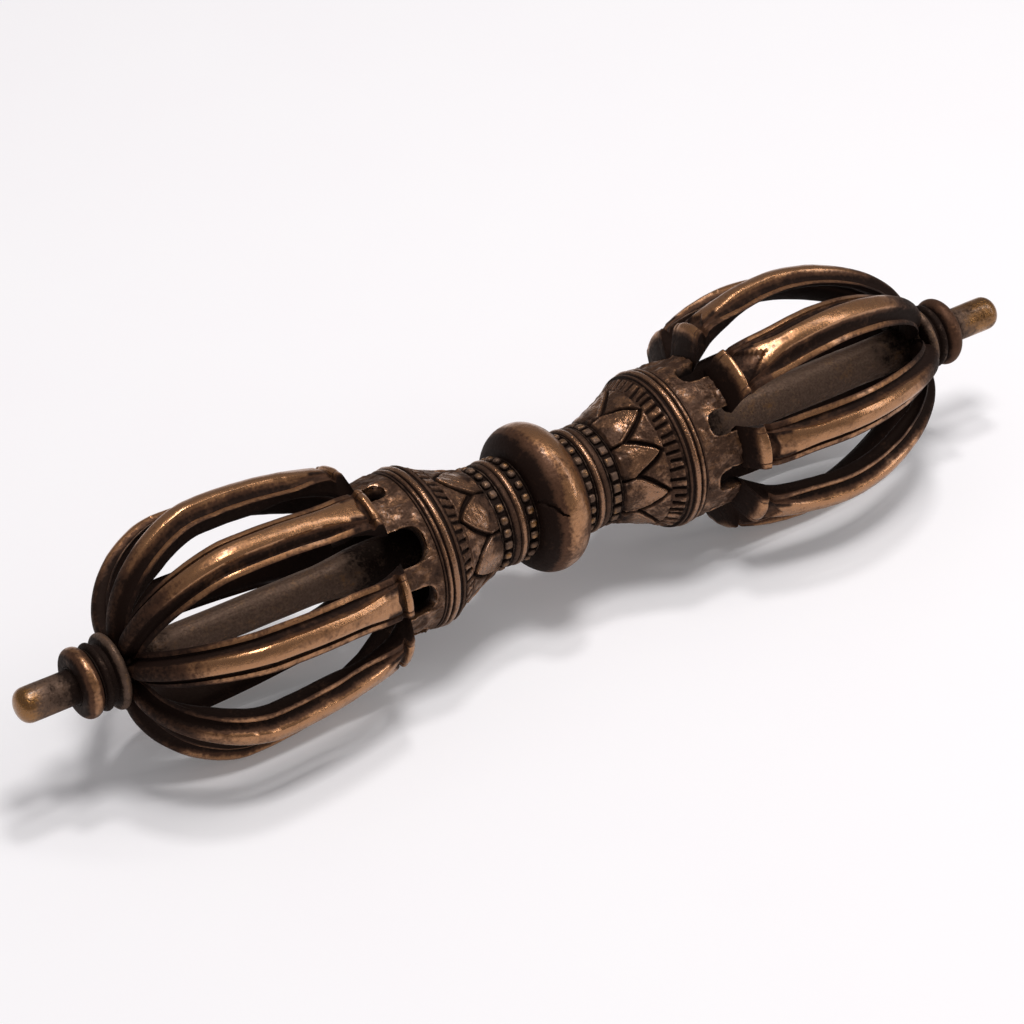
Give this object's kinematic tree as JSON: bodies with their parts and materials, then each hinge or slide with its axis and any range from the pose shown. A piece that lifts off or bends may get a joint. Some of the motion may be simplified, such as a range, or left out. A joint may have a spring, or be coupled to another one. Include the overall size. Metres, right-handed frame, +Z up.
{
  "type": "dorje vajra",
  "caption": "Ritual sceptre of aged bronze: a round hub between beaded collars, lotus bells and two closed cages of curved grooved prongs, with a plain pin at each tip.",
  "frame": {"origin": "middle of the hub, on the long axis", "axes": "+X along the spindle towards the far tip, +Z up with the dorje lying on two prongs of the near cage and one of the far cage, +Y across"},
  "size_m": [0.1696, 0.0374, 0.0374],
  "materials": {
    "crest_bronze": "handled bronze, rubbed bright on the crests and dark in the grooves",
    "body_bronze": "dark brown patina with worn high edges and near-black recesses",
    "dark_bronze": "matt grey-brown patina"
  },
  "bodies": {
    "root": {"spindle": "dark_bronze", "hub": "crest_bronze", "near_inner_bead_ring": "dark_bronze", "near_ridge_ring": "body_bronze", "near_outer_bead_ring": "dark_bronze", "near_lotus_bell": "body_bronze", "near_rim_ring": "body_bronze", "near_tip_cap": "dark_bronze", "near_tip_ring": "crest_bronze", "far_inner_bead_ring": "dark_bronze", "far_ridge_ring": "body_bronze", "far_outer_bead_ring": "dark_bronze", "far_lotus_bell": "body_bronze", "far_rim_ring": "body_bronze", "far_tip_cap": "dark_bronze", "far_tip_ring": "crest_bronze", "near_prong_1": "crest_bronze", "near_prong_2": "crest_bronze", "near_prong_3": "crest_bronze", "near_prong_4": "crest_bronze", "near_prong_5": "crest_bronze", "near_prong_6": "crest_bronze", "near_prong_7": "crest_bronze", "near_prong_8": "crest_bronze", "far_prong_1": "crest_bronze", "far_prong_2": "crest_bronze", "far_prong_3": "crest_bronze", "far_prong_4": "crest_bronze", "far_prong_5": "crest_bronze", "far_prong_6": "crest_bronze", "far_prong_7": "crest_bronze", "far_prong_8": "crest_bronze"}
  },
  "joints": []
}
